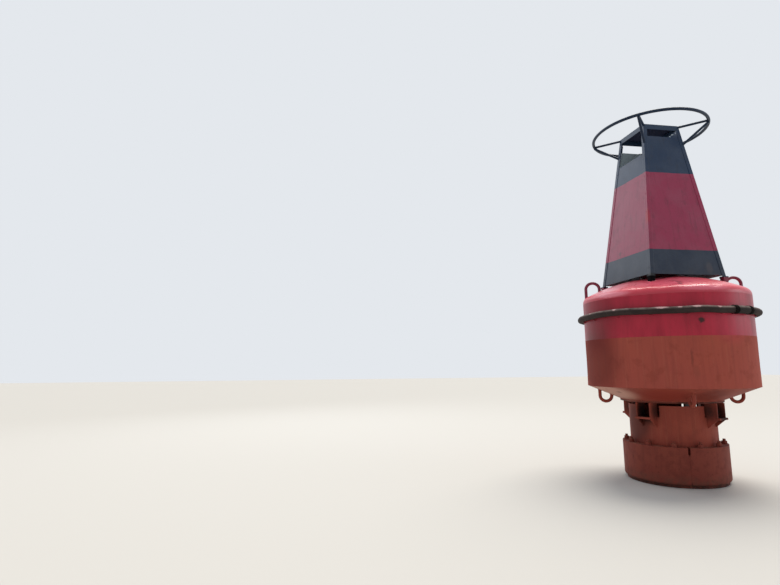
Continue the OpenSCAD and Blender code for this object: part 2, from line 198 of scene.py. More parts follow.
def eased(node, radius, material):
    """A copy of a CAD node whose sharp edges are ground or cast round by this radius."""
    shape = bmesh.new()
    shape.from_mesh(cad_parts[node].data)
    bmesh.ops.remove_doubles(shape, verts=shape.verts, dist=0.00002)
    flat = math.radians(0.4)
    bmesh.ops.dissolve_limit(shape, angle_limit=flat, verts=shape.verts, edges=shape.edges)
    for face in shape.faces:
        face.smooth = True
    mesh = bpy.data.meshes.new(node + "_eased")
    shape.to_mesh(mesh)
    shape.free()
    mesh.materials.clear()
    mesh.materials.append(material)
    piece = brought(node + "_eased", mesh)
    bevel = piece.modifiers.new("eased edges", "BEVEL")
    bevel.width = radius
    bevel.segments = 2
    bevel.limit_method = "ANGLE"
    bevel.angle_limit = math.radians(32)
    weighted = piece.modifiers.new("flat faces stay flat", "WEIGHTED_NORMAL")
    weighted.weight = 100
    weighted.keep_sharp = True
    return piece


antifouling_colour = "#8E3E31"
antifouling_wear = [
    (420, 1.0, 0.42, 0.66, "#9C4B3A", 0.55, 0.72, 0.0, None),
    (60, 16.0, 0.50, 0.74, "#672E26", 0.45, 0.66, 0.0, None),
    (38, 22.0, 0.56, 0.74, "#A8624C", 0.40, 0.80, 0.0, None),
    (170, 1.0, 0.54, 0.66, "#79352B", 0.45, 0.70, 0.05, None),
    (11, 1.0, 0.42, 0.66, "#955142", 0.30, 0.78, 0.25, None),
    (16, 1.0, 0.68, 0.74, "#46241B", 0.80, 0.90, 0.35, None),
    (90, 1.0, 0.45, 0.75, "#B08E74", 0.55, 0.95, 0.0, "top"),
]
bracket_bearings = (-157.5, -67.5, 22.5, 112.5)
# The dark patches in the bracket pockets, on the tube near bearing -181 and on the bracket at -67.5 are
# painted shade.
pocket_painted_shade = [
    (around(-181.0, 0.60, 0.86), 0.30, 0.36, "#4E231D", 0.80),
    (around(-67.5, 0.74, 1.00), 0.12, 0.18, "#140C0C", 0.85),
]
pocket_painted_shade += [(around(bearing, 0.62, 1.06), 0.17, 0.20, "#100A0A", 0.94) for bearing in bracket_bearings]
# The near-black band at the foot of the base is painted shade, with some dirt.
tube_bands = [(0.042, "#241612"), (9.0, antifouling_colour)]
antifouling = painted("matt antifouling paint", tube_bands, antifouling_wear, 0.62, 0.2, pocket_painted_shade)
for node in ("base_flange", "tail_tube"):
    piece = eased(node, 0.002, antifouling)
    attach(piece, "root")
    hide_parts(node)

# The ballast is cast in four quarters that are set round the tube, each with half a lifting
# slot at its ends. Sand casting leaves the iron grainy under its paint, with soft edges.
cast_wear = [
    (300, 1.0, 0.42, 0.66, "#884335", 0.50, 0.70, 0.0, None),
    (120, 1.0, 0.50, 0.62, "#662B25", 0.55, 0.72, 0.25, None),
    (70, 18.0, 0.52, 0.72, "#572722", 0.50, 0.68, 0.0, None),
    (7, 1.0, 0.38, 0.62, "#8E4938", 0.35, 0.80, 0.45, None),
    (24, 1.0, 0.64, 0.72, "#3E2118", 0.75, 0.92, 0.50, None),
    (60, 1.0, 0.35, 0.60, "#5A483C", 0.60, 0.95, 0.0, (0.20, 0.04)),
    (90, 1.0, 0.45, 0.75, "#A08068", 0.55, 0.95, 0.0, "top"),
]
painted_iron = painted("painted sand cast iron", [(0, "#7A352C")], cast_wear, 0.60, 0.2)
for node in ("ballast_1", "ballast_2", "ballast_3", "ballast_4"):
    piece = eased(node, 0.004, painted_iron)
    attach(piece, "root")
    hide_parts(node)


# Twelve forged steel tie rods hold the ballast down on the base. Each ends in a washer, a hexagon
# nut with chamfered corners and a stub of thread, and is painted over together with the iron.
def new_tree(name, source, sizes):
    """A tree that takes a mesh, a material and sizes, and the outputs that give them."""
    tree = bpy.data.node_groups.new(name, "GeometryNodeTree")
    wanted = [(source, "Geometry"), ("Material", "Material"), *((size, "Float") for size in sizes)]
    for socket, kind in wanted:
        tree.interface.new_socket(socket, in_out="INPUT", socket_type="NodeSocket" + kind)
    tree.interface.new_socket("Shape", in_out="OUTPUT", socket_type="NodeSocketGeometry")
    return tree, add(tree, "NodeGroupInput").outputs


def close_tree(tree, shape, material):
    """Makes the shape real, gives it its material and hands it out."""
    real = add(tree, "GeometryNodeRealizeInstances", {"Geometry": shape})
    finish = add(tree, "GeometryNodeSetMaterial", {"Geometry": real, "Material": material})
    add(tree, "NodeGroupOutput", {0: finish})


def bolt_tree():
    """Stands a washer, a nut and a stub of thread on each point, along the facing attribute."""
    washer_sizes = ("Washer Radius", "Washer Thickness")
    stud_sizes = ("Stud Radius", "Stud Height", "Thread Pitch")
    bolt_sizes = ("Across Flats", "Nut Height", *washer_sizes, *stud_sizes)
    tree, given = new_tree("bolts on points", "Points", bolt_sizes)
    chamfer_inset = 0.86
    chamfer_rise = 0.08
    thread_depth = 0.045
    half = {}
    for size in ("Washer Thickness", "Nut Height", "Stud Height"):
        half[size] = add(tree, "ShaderNodeMath", {0: given[size], 1: 0.5}, operation="MULTIPLY")
    disc = {"Vertices": 28, "Radius": given["Washer Radius"], "Depth": given["Washer Thickness"]}
    washer = add(tree, "GeometryNodeMeshCylinder", disc)
    to_corner = {0: given["Across Flats"], 1: 1 / math.sqrt(3)}
    corner = add(tree, "ShaderNodeMath", to_corner, operation="MULTIPLY")
    prism = {"Vertices": 6, "Radius": corner, "Depth": given["Nut Height"]}
    nut = add(tree, "GeometryNodeMeshCylinder", prism)
    top = add(tree, "ShaderNodeMath", {0: corner, 1: chamfer_inset}, operation="MULTIPLY")
    cap_height = add(tree, "ShaderNodeMath", {0: corner, 1: chamfer_rise}, operation="MULTIPLY")
    chamfer = {"Vertices": 6, "Radius Bottom": corner, "Radius Top": top, "Depth": cap_height}
    cap = add(tree, "GeometryNodeMeshCone", chamfer)
    rod = {"Radius": given["Stud Radius"], "Depth": given["Stud Height"]}
    stud = add(tree, "GeometryNodeMeshCylinder", {"Vertices": 20, "Side Segments": 30, **rod})
    spot = add(tree, "GeometryNodeInputPosition")
    level = add(tree, "ShaderNodeSeparateXYZ", {"Vector": spot}).outputs["Z"]
    turns = add(tree, "ShaderNodeMath", {0: level, 1: given["Thread Pitch"]}, operation="DIVIDE")
    wave = add(tree, "ShaderNodeMath", {0: turns, 1: math.tau}, operation="MULTIPLY")
    crest = add(tree, "ShaderNodeMath", {0: wave}, operation="SINE")
    depth = add(tree, "ShaderNodeMath", {0: crest, 1: thread_depth}, operation="MULTIPLY")
    out = add(tree, "ShaderNodeVectorMath", {0: spot, 1: (1.0, 1.0, 0.0)}, operation="MULTIPLY")
    push = add(tree, "ShaderNodeVectorMath", {0: out, "Scale": depth}, operation="SCALE")
    threaded = add(tree, "GeometryNodeSetPosition", {"Geometry": stud, "Offset": push})
    seat = given["Washer Thickness"]
    nut_middle = add(tree, "ShaderNodeMath", {0: seat, 1: half["Nut Height"]}, operation="ADD")
    nut_top = add(tree, "ShaderNodeMath", {0: seat, 1: given["Nut Height"]}, operation="ADD")
    joined = add(tree, "GeometryNodeJoinGeometry")
    for part, lift in (
        (washer, half["Washer Thickness"]),
        (nut, nut_middle),
        (cap, nut_top),
        (threaded, half["Stud Height"]),
    ):
        up = add(tree, "ShaderNodeCombineXYZ", {"Z": lift})
        placed = add(tree, "GeometryNodeTransform", {"Geometry": part, "Translation": up})
        tree.links.new(placed.outputs[0], joined.inputs[0])
    facing = add(tree, "GeometryNodeInputNamedAttribute", {"Name": "facing"}, data_type="FLOAT_VECTOR")
    turned_to = add(tree, "FunctionNodeAlignRotationToVector", {"Vector": facing}, axis="Z")
    stand = {"Points": given["Points"], "Instance": joined, "Rotation": turned_to}
    close_tree(tree, add(tree, "GeometryNodeInstanceOnPoints", stand), given["Material"])
    return tree


def grown(name, tree, base, values):
    """Runs a node tree on a mesh, keeps the result as a plain mesh and removes the modifier."""
    piece = brought(name, base)
    modifier = piece.modifiers.new(name, "NODES")
    modifier.node_group = tree
    for socket in tree.interface.items_tree:
        if socket.name in values:
            modifier[socket.identifier] = values[socket.name]
    view = bpy.context.evaluated_depsgraph_get()
    mesh = bpy.data.meshes.new_from_object(piece.evaluated_get(view))
    mesh.name = name
    piece.modifiers.clear()
    piece.data = mesh
    return piece


def ring(radius, height, steps=240, start=0.0):
    """Places evenly round a level circle, whose centre is in the middle of the buoy."""
    return [around(start + 360 / steps * step, radius, height) for step in range(steps)]


def points(name, places, facings=()):
    """A mesh of loose points with the direction in which each faces, which is up by default."""
    facings = facings or [(0.0, 0.0, 1.0)] * len(places)
    mesh = bpy.data.meshes.new(name)
    mesh.from_pydata(places, [], [])
    facing = mesh.attributes.new("facing", "FLOAT_VECTOR", "POINT")
    facing.data.foreach_set("vector", [part for way in facings for part in way])
    return mesh


tie_count = 12
tie_bearing = 22.5
tie_radius = 0.6665
ballast_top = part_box("ballast_1")[1].z
bolts = bolt_tree()
tie_points = points("tie points", ring(tie_radius, ballast_top, tie_count, tie_bearing))
tie_sizes = {
    "Material": painted_iron,
    "Across Flats": 0.068,
    "Nut Height": 0.036,
    "Washer Radius": 0.042,
    "Washer Thickness": 0.008,
    "Stud Radius": 0.0205,
    "Stud Height": 0.074,
    "Thread Pitch": 0.0045,
}
tie_nuts = grown("tie_bolt_ends", bolts, tie_points, tie_sizes)
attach(tie_nuts, "root")
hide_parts("tie_bolts")


# Each bracket is welded from two cheeks that pass through the notch in the tube, a sill and
# gussets. The cheeks carry the hull, to which they are welded along both their sides.
def bar_tree():
    """Sweeps a bar along a path: its section swells in waves and its skin is wrinkled."""
    bar_sizes = ("Radius", "Step", "Swell", "Swell Length", "Wrinkle", "Wrinkle Size")
    tree, given = new_tree("bar along a path", "Path", ("Sides", *bar_sizes))
    path = add(tree, "GeometryNodeMeshToCurve", {"Mesh": given["Path"]})
    steps = {"Curve": path, "Length": given["Step"]}
    even = add(tree, "GeometryNodeResampleCurve", steps, mode="LENGTH")
    along = add(tree, "GeometryNodeSplineParameter").outputs["Length"]
    turns = add(tree, "ShaderNodeMath", {0: along, 1: given["Swell Length"]}, operation="DIVIDE")
    wave = add(tree, "ShaderNodeMath", {0: turns, 1: math.tau}, operation="MULTIPLY")
    crest = add(tree, "ShaderNodeMath", {0: wave}, operation="SINE")
    swollen = {0: crest, 1: given["Swell"], 2: 1.0}
    scale = add(tree, "ShaderNodeMath", swollen, operation="MULTIPLY_ADD")
    circle = {"Resolution": given["Sides"], "Radius": given["Radius"]}
    section = add(tree, "GeometryNodeCurvePrimitiveCircle", circle)
    sweep = {"Curve": even, "Profile Curve": section, "Fill Caps": True, "Scale": scale}
    swept = add(tree, "GeometryNodeCurveToMesh", sweep)
    patch = add(tree, "ShaderNodeMath", {0: 1.0, 1: given["Wrinkle Size"]}, operation="DIVIDE")
    cloud = add(tree, "ShaderNodeTexNoise", {"Scale": patch, "Detail": 2.0})
    centred = add(tree, "ShaderNodeMath", {0: cloud, 1: 0.5}, operation="SUBTRACT")
    depth = add(tree, "ShaderNodeMath", {0: centred, 1: given["Wrinkle"]}, operation="MULTIPLY")
    outward = add(tree, "GeometryNodeInputNormal")
    push = add(tree, "ShaderNodeVectorMath", {0: outward, "Scale": depth}, operation="SCALE")
    wrinkled = add(tree, "GeometryNodeSetPosition", {"Geometry": swept, "Offset": push})
    smooth = add(tree, "GeometryNodeSetShadeSmooth", {"Geometry": wrinkled})
    close_tree(tree, smooth, given["Material"])
    return tree


def paths(name, runs):
    """A mesh of lines. Each run is a list of places and whether its end joins its start."""
    places, lines = [], []
    for run, closed in runs:
        first = len(places)
        places += run
        lines += [(at, at + 1) for at in range(first, len(places) - 1)]
        if closed:
            lines.append((len(places) - 1, first))
    mesh = bpy.data.meshes.new(name)
    mesh.from_pydata(places, lines, [])
    return mesh


def bar_sizes(material, radius, sides, step, swell, wrinkle):
    """The sizes of a bar. Its swell and its wrinkle are each how much and over what length."""
    return {
        "Material": material,
        "Sides": sides,
        "Radius": radius,
        "Step": step,
        "Swell": swell[0],
        "Swell Length": swell[1],
        "Wrinkle": wrinkle[0],
        "Wrinkle Size": wrinkle[1],
    }


def bead(material, radius):
    """The sizes of a weld bead, whose ripples show where the welder's hand moved on."""
    return bar_sizes(material, radius, 8, 0.005, swell=(0.10, 0.019), wrinkle=(0.0018, 0.03))


def swung(bearing):
    """A turn round the buoy's middle by a bearing in degrees."""
    return Matrix.Rotation(math.radians(bearing), 3, "Z")


bar = bar_tree()
cheek_sides = (-0.115, -0.095, 0.095, 0.115)
cheek_reach = (0.562, 0.716)
hull_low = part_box("hull_bottom")[0].z
seams = []
for number, bearing in enumerate(bracket_bearings, 1):
    piece = eased(f"bracket_{number}", 0.003, antifouling)
    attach(piece, "root")
    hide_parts(f"bracket_{number}")
    for side in cheek_sides:
        ends = [swung(bearing) @ Vector((reach, side, hull_low - 0.001)) for reach in cheek_reach]
        seams.append(([tuple(end) for end in ends], False))
bracket_welds = grown("bracket_welds", bar, paths("bracket seams", seams), bead(antifouling, 0.006))
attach(bracket_welds, "root")

# Rust and old paint have all but closed the seams between the quarters of the ballast. They
# fill them with a rough, rounded bead about level with the face of the iron.
filling_radius = 0.7215
filling_heights = np.linspace(0.085, 0.430, 40)
filling = [
    ([around(bearing, filling_radius, height) for height in filling_heights], False)
    for bearing in (-112.5, -22.5, 67.5, 157.5)
]
ballast_fill = grown("ballast_seam_fill", bar, paths("ballast seams", filling), bead(painted_iron, 0.0052))
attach(ballast_fill, "root")

# The hull is welded from a conical bottom, a rolled side and a dished deck. Its lower half has
# the antifouling paint and its upper half red gloss enamel, painted brighter and pinker on the deck
# as painted light from above, partly sun bleach. Ropes, hooks and other buoys have left shallow knocks all
# over it.
hull_sides = 384
hull_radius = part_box("hull_side")[1].y
side_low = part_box("hull_side")[0].z
deck_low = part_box("hull_deck")[0].z
deck_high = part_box("hull_deck")[1].z
cone_low = 1.21
cone_radius = 0.72
knuckle_radius = 0.106
crown_radius = 2.55
deck_lip = 0.024
paint_line = 2.138
shoulder = deck_low + deck_lip
crown_middle = deck_high - crown_radius
knuckle_middle = hull_radius - knuckle_radius
knuckle_end = crown_radius * knuckle_middle / (crown_radius - knuckle_radius)


def deck_at(radius):
    """Height of the deck at a distance from the middle."""
    if radius < knuckle_end:
        return crown_middle + math.sqrt(crown_radius**2 - radius**2)
    return shoulder + math.sqrt(knuckle_radius**2 - (radius - knuckle_middle) ** 2)


def cone_at(radius):
    """Height of the conical bottom at a distance from the middle."""
    return cone_low + (radius - cone_radius) / (hull_radius - cone_radius) * (side_low - cone_low)


def knocked(bearings, radius, height, dents):
    """How far each place on one level ring of the hull is pushed in, in metres."""
    depth = np.zeros(len(bearings))
    for bearing, at_radius, at_height, half_width, half_height, deep in dents:
        gap = (bearings - bearing + 180.0) % 360.0 - 180.0
        across = np.radians(gap) * max(radius, 0.2) / half_width
        along = math.hypot(radius - at_radius, height - at_height) / half_height
        depth += deep * np.exp(-(across**2) - along**2)
    return depth


def skin(name, places, faces, material, smooth_to=None):
    """An object with these faces, shaded smooth over edges of less than this many degrees."""
    mesh = bpy.data.meshes.new(name)
    mesh.from_pydata(places, [], faces)
    if smooth_to is not None:
        mesh.shade_smooth()
        mesh.set_sharp_from_angle(angle=math.radians(smooth_to))
    mesh.materials.append(material)
    return brought(name, mesh)


def turned(name, profile, sides, dents, material):
    """A closed skin turned from (radius, height) places, knocked in where the dents are."""
    edge_turn = 0.6
    bearings = np.arange(sides) * 360.0 / sides
    angles = np.radians(bearings)
    places = [(0.0, 0.0, profile[0][1])]
    for (r0, z0), (r, z), (r1, z1) in zip(profile, profile[1:], profile[2:]):
        slope = math.atan2(r0 - r1, z1 - z0)
        sharp = abs(math.atan2(r - r0, z - z0) - math.atan2(r1 - r, z1 - z)) > edge_turn
        depth = knocked(bearings, r, z, () if sharp else dents)
        radii = r - depth * math.cos(slope)
        heights = z - depth * math.sin(slope)
        places += list(zip(radii * np.cos(angles), radii * np.sin(angles), heights))
    places.append((0.0, 0.0, profile[-1][1]))
    rows = len(profile) - 2
    faces = []
    for side in range(sides):
        after = (side + 1) % sides
        faces.append((0, 1 + after, 1 + side))
        for row in range(rows - 1):
            low, high = 1 + row * sides, 1 + (row + 1) * sides
            faces.append((low + side, low + after, high + after, high + side))
        last = 1 + (rows - 1) * sides
        faces.append((last + side, last + after, len(places) - 1))
    return skin(name, places, faces, material, 30)


dice = np.random.default_rng(11)


def thrown(count, least, most):
    """Rows of random values, each between its own least and most."""
    return dice.uniform(least, most, (count, len(least))).tolist()


side_dents = [(-97.0, hull_radius, 2.62, 0.16, 0.10, 0.006), (-140.0, hull_radius, 1.62, 0.25, 0.16, 0.005)]
side_least = (-180, side_low + 0.1, 0.06, 0.05, -0.0016)
side_most = (180, deck_low - 0.12, 0.30, 0.20, 0.0028)
side_dents += [(bearing, hull_radius, *rest) for bearing, *rest in thrown(90, side_least, side_most)]
side_rows = 56
side_step = (deck_low - side_low) / side_rows
side_profile = [(0.0, side_low)]
side_profile += [(hull_radius, side_low + side_step * row) for row in range(side_rows + 1)]
side_profile.append((0.0, deck_low))
hull_bands = [(paint_line, "#A04B40"), (9.0, "#AE263C")]
below_line = (paint_line + 0.001, paint_line)
above_line = (paint_line, paint_line + 0.001)
hull_wear = [
    (420, 1.0, 0.00, 0.01, "#A04B40", 1.00, 0.86, 0.0, below_line),
    (420, 1.0, 0.42, 0.66, "#A8503F", 0.45, 0.86, 0.0, below_line),
    (330, 4.0, 0.44, 0.60, "#7E1426", 0.55, 0.34, 0.0, above_line),
    (240, 5.0, 0.50, 0.64, "#B82A40", 0.45, 0.38, 0.0, above_line),
    (60, 16.0, 0.50, 0.74, "#5E2A26", 0.26, 0.60, 0.0, None),
    (38, 22.0, 0.56, 0.74, "#B06A54", 0.25, 0.86, 0.0, below_line),
    (170, 1.0, 0.54, 0.66, "#83392E", 0.40, 0.86, 0.05, below_line),
    (11, 1.0, 0.42, 0.66, "#9C5545", 0.22, 0.86, 0.22, below_line),
    (9, 1.0, 0.35, 0.70, "#AC2338", 0.15, 0.42, 0.10, above_line),
    (20, 1.0, 0.70, 0.75, "#46241B", 0.75, 0.90, 0.30, None),
]
# The broad dark patches near bearing -183 are painted shade and the pale patch near bearing -84 is painted
# light; the rest are a rust spot and stains.
hull_stains_and_painted_light = [
    (around(-182.0, hull_radius, 2.45), 0.60, 0.60, "#6E0416", 0.60),
    (around(-184.0, hull_radius, 1.78), 0.60, 0.60, "#5A1D17", 0.65),
    (around(-84.0, hull_radius, 2.42), 0.40, 0.40, "#C03A50", 0.35),
    (around(-104.7, hull_radius, 2.352), 0.048, 0.042, "#2E1A17", 0.95),
    (around(-112.5, hull_radius, 1.83), 0.020, 0.140, "#6A3830", 0.45),
    (around(-110.5, hull_radius, 1.64), 0.050, 0.100, "#7E4438", 0.30),
]
hull_paint = painted("red gloss over antifouling", hull_bands, hull_wear, 0.36, 0.26, hull_stains_and_painted_light)
hull_side = turned("hull_side_skin", side_profile, hull_sides, side_dents, hull_paint)
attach(hull_side, "root")
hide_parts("hull_side")

deck_dents = [
    (-92.0, 1.175, 2.835, 0.070, 0.030, 0.007),
    (-109.0, 1.150, 2.858, 0.080, 0.035, 0.005),
    (-127.0, 1.160, 2.850, 0.090, 0.040, 0.006),
    (-141.0, 1.150, 2.858, 0.060, 0.035, 0.004),
    (-113.4, 0.900, 2.960, 0.120, 0.110, 0.006),
    (-133.0, 1.050, 2.910, 0.160, 0.050, 0.005),
]
deck_least = (0.1, -180, 0.05, 0.04, -0.0020)
deck_most = (1.34, 180, 0.22, 0.14, 0.0034)
for squared, bearing, *rest in thrown(80, deck_least, deck_most):
    radius = math.sqrt(squared)
    deck_dents.append((bearing, radius, deck_at(radius), *rest))
knuckle_steps = 20
knuckle_turn = math.degrees(math.acos((knuckle_end - knuckle_middle) / knuckle_radius))
deck_profile = [(0.0, deck_low), (hull_radius, deck_low), (hull_radius, deck_low + deck_lip / 2)]
for step in range(knuckle_steps + 1):
    reach, rise, _ = around(knuckle_turn * step / knuckle_steps, knuckle_radius, 0.0)
    deck_profile.append((knuckle_middle + reach, shoulder + rise))
crown_steps = 48
for step in range(crown_steps - 1, -1, -1):
    radius = knuckle_end * step / crown_steps
    deck_profile.append((radius, deck_at(radius)))
# The crown's brighter red and the pale pink where it looks up are painted light from above, partly sun
# bleach.
deck_wear_and_painted_light = [
    (200, 1.0, 0.00, 0.01, "#E84256", 1.00, 0.28, 0.0, (2.755, 2.845)),
    (380, 1.0, 0.40, 0.68, "#EE5E70", 0.40, 0.30, 0.0, (2.800, 2.900)),
    (140, 1.0, 0.54, 0.66, "#BE2640", 0.35, 0.22, 0.0, None),
    (9, 1.0, 0.35, 0.70, "#D03450", 0.15, 0.28, 0.06, None),
    (60, 1.0, 0.45, 0.80, "#EC8A98", 0.40, 0.30, 0.0, "top"),
    (20, 1.0, 0.70, 0.75, "#4A1A20", 0.70, 0.90, 0.30, None),
]
# The dark patch in the middle, under the tower, is painted shade, and the four pale pink patches near the
# knuckle are painted highlights; the three small dark marks are a smudge.
deck_stains_and_painted_light = [
    ((0.0, 0.0, 3.08), 0.78, 0.60, "#2E0810", 0.85),
    (around(-172.0, 1.06, 2.92), 0.34, 0.13, "#F2A8B6", 0.55),
    (around(-120.0, 1.02, 2.95), 0.52, 0.12, "#F0708A", 0.45),
    (around(-161.0, 1.18, 2.795), 0.30, 0.045, "#EE94A4", 0.60),
    (around(-100.0, 1.18, 2.81), 0.40, 0.045, "#E2788E", 0.55),
    (around(-114.2, 1.08, 2.90), 0.036, 0.060, "#5A1220", 0.85),
    (around(-113.8, 0.99, 2.94), 0.050, 0.060, "#7A1A2A", 0.65),
    (around(-115.6, 0.90, 2.98), 0.060, 0.050, "#8E2436", 0.45),
]
red_enamel = painted("red gloss enamel", [(0, "#AE2238")], deck_wear_and_painted_light, 0.36, 0.60, deck_stains_and_painted_light)
hull_deck = turned("hull_deck_skin", deck_profile, hull_sides, deck_dents, red_enamel)
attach(hull_deck, "root")
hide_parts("hull_deck")

# The flange's near-black band and the darker patches near bearings -132 and -94 are painted shade; the pale
# patch near bearing -178 is beige staining and painted light from the floor.
bottom_bands = [(cone_low + 0.002, "#361913"), (9.0, antifouling_colour)]
cone_stains_and_painted_light = [
    (around(-178.0, 1.02, 1.33), 0.42, 0.20, "#D2A492", 0.70),
    (around(-132.0, 0.98, 1.31), 0.34, 0.20, "#8A2E24", 0.60),
    (around(-94.0, 0.96, 1.31), 0.26, 0.20, "#6A261C", 0.60),
    (around(-169.0, 1.04, 1.32), 0.06, 0.03, "#54281F", 0.70),
]
bottom_name = "matt antifouling with painted shade on the flange"
bottom_paint = painted(bottom_name, bottom_bands, antifouling_wear, 0.62, 0.2, cone_stains_and_painted_light)
bottom = eased("hull_bottom", 0.002, bottom_paint)
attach(bottom, "root")
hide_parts("hull_bottom")

plate_seams = (-112.5, 7.5, 127.5)
seam_radius = hull_radius - 0.0014
side_seams = [(ring(seam_radius, side_low), True), (ring(seam_radius, deck_low), True)]
for bearing in plate_seams:
    rise = []
    for height in np.linspace(side_low, deck_low, 60):
        pushed = knocked(np.array([bearing]), hull_radius, height, side_dents)[0]
        rise.append(around(bearing, seam_radius - pushed, height))
    side_seams.append((rise, False))
hull_welds = grown("hull_welds", bar, paths("hull seams", side_seams), bead(hull_paint, 0.0024))
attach(hull_welds, "root")

# Four mooring eyes are bent from thick round bar and welded under the hull, in line with its
# middle, and two lifting eyes stand on the deck, whose crimson enamel is worn dark and dull by
# hooks. Each leg has a fillet weld round it.
moor_bearings = (-111.0, -21.0, 69.0, 159.0)
moor_middle, moor_bend, moor_bar = 0.950, 0.088, 0.025
lift_bearings = (157.5, -22.5)
lift_middle, lift_bend, lift_bar = 1.046, 0.106, 0.024


def collars(bearings, middle, bend, bar_radius, surface):
    """Loops round both legs of some eyes, at the height that surface gives for the hull there."""
    loops = []
    for bearing in bearings:
        for radius in (middle - bend, middle + bend):
            leg_x, leg_y, _ = around(bearing, radius, 0.0)
            loop = [(leg_x + x, leg_y + y) for x, y, _ in ring(bar_radius, 0.0, 24)]
            loops.append(([(x, y, surface(math.hypot(x, y))) for x, y in loop], True))
    return loops


coated([f"mooring_eye_{number}" for number in (1, 2, 3, 4)], antifouling)
eye_wear = [
    (60, 1.0, 0.45, 0.62, "#8A3450", 0.40, 0.50, 0.10, None),
    (12, 1.0, 0.62, 0.70, "#4A241E", 0.60, 0.80, 0.25, None),
]
eye_enamel = painted("crimson enamel on bent bar", [(0, "#74283E")], eye_wear, 0.40, 0.35)
coated([f"lifting_eye_{number}" for number in (1, 2)], eye_enamel)
moor_loops = collars(moor_bearings, moor_middle, moor_bend, moor_bar, cone_at)
moor_loops.append((ring(cone_radius, cone_low), True))
eye_welds = grown("mooring_eye_welds", bar, paths("mooring seams", moor_loops), bead(antifouling, 0.006))
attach(eye_welds, "root")
lift_loops = collars(lift_bearings, lift_middle, lift_bend, lift_bar, deck_at)

# The fender is a length of thick rubber hose wrapped round the hull and held between welded
# cleats, with its ends joined in a sleeve under two straps of rusted steel. Sun and salt have
# greyed the rubber and scuffed its upper edge; the pale scuff marks between bearings -180 and -94
# also stand for a painted highlight. It no longer lies quite level.
fender_low, fender_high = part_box("fender_hose")
fender_radius = (fender_high.z - fender_low.z) / 2
fender_level = (fender_high.z + fender_low.z) / 2
hose_gap = 0.0003
fender_middle = hull_radius + hose_gap + fender_radius
cleat_count = 16
cleat_rise = 0.0012
fender_waves = [
    (-160.0, 24.0, 0.022),
    (-106.0, 9.0, 0.008),
    (-90.0, 6.0, -0.004),
    (60.0, 14.0, 0.006),
    (150.0, 12.0, -0.005),
]


def fender_height(bearing):
    """Height of the middle of the hose, which rides up and sags between its cleats."""
    height = fender_level + cleat_rise * math.sin(math.radians(bearing * cleat_count))
    for middle, width, rise in fender_waves:
        gap = (bearing - middle + 180.0) % 360.0 - 180.0
        height += rise * math.exp(-((gap / width) ** 2))
    return height


def rubber(name, colour, worn, marks=()):
    """Moulded rubber: nearly black, bleached grey and crazed on top, dull everywhere."""
    layers = [
        (220, 1.0, 0.40, 0.66, worn, 0.50, 0.85, 0.0, None),
        (26, 1.0, 0.50, 0.68, "#1E1918", 0.55, 0.80, 0.30, None),
        (5, 1.0, 0.42, 0.60, worn, 0.30, 0.90, 0.25, None),
        (120, 1.0, 0.28, 0.54, "#A8958F", 0.66, 0.95, 0.0, "top"),
    ]
    return painted(name, [(0, colour)], layers, 0.80, gloss=0.2, marks=marks)


scuffs_and_highlights = [
    (around(bearing, fender_middle + 0.022, fender_height(bearing) + 0.042), half, 0.024, "#DDB8B8", cover)
    for bearing, half, cover in (
        (-179.6, 0.030, 0.80),
        (-157.4, 0.035, 0.80),
        (-128.0, 0.085, 0.90),
        (-117.6, 0.030, 0.75),
        (-108.2, 0.070, 0.80),
        (-94.5, 0.035, 0.75),
        (-40.0, 0.050, 0.70),
        (35.0, 0.060, 0.75),
        (118.0, 0.050, 0.70),
    )
]
hose_rubber = rubber("weathered hose rubber", "#2A2120", "#433835", scuffs_and_highlights)
hose_bearings = [360 / 240 * step for step in range(240)]
hose_path = [around(bearing, fender_middle, fender_height(bearing)) for bearing in hose_bearings]
hose_sizes = bar_sizes(hose_rubber, fender_radius, 28, 0.022, swell=(0.006, 0.31), wrinkle=(0.0045, 0.05))
fender = grown("fender_hose_worn", bar, paths("hose path", [(hose_path, True)]), hose_sizes)
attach(fender, "root")
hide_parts("fender_hose")

sleeve_rubber = rubber("moulded sleeve rubber", "#211D1D", "#322C2A")
coated(["fender_sleeve"], sleeve_rubber)
coated(["fender_cleats"], hull_paint)


def strap(bearing, width, radius, opening):
    """A flat strap round the hose at a bearing, open towards the hull."""
    thick = 0.005
    steps = 40
    rows = []
    for step in range(steps + 1):
        swing = math.radians(opening + (360 - 2 * opening) * step / steps + 180)
        for edge in (-width / 2, width / 2):
            for size in (radius, radius + thick):
                reach = fender_middle + size * math.cos(swing)
                turn = bearing + math.degrees(edge / fender_middle)
                rows.append(around(turn, reach, fender_height(bearing) + size * math.sin(swing)))
    faces = []
    for step in range(steps):
        at = step * 4
        for one, two in ((0, 1), (1, 3), (3, 2), (2, 0)):
            faces.append((at + one, at + two, at + 4 + two, at + 4 + one))
    faces += [(0, 2, 3, 1), (steps * 4, steps * 4 + 1, steps * 4 + 3, steps * 4 + 2)]
    return rows, faces


strap_wear = [
    (30, 1.0, 0.50, 0.64, "#24160F", 0.60, 0.85, 0.20, None),
    (8, 1.0, 0.50, 0.62, "#17100D", 0.60, 0.90, 0.20, None),
]
strap_steel = painted("rusted steel strap", [(0, "#080707")], strap_wear, 0.80, 0.05)
strap_width = 0.058
strap_radius = fender_radius + 0.0085
strap_opening = 62
strap_places, strap_faces = [], []
for bearing in (-83.0, -69.5):
    places, faces = strap(bearing, strap_width, strap_radius, strap_opening)
    strap_faces += [tuple(corner + len(strap_places) for corner in face) for face in faces]
    strap_places += places
straps = skin("sleeve_straps", strap_places, strap_faces, strap_steel)
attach(straps, "root")
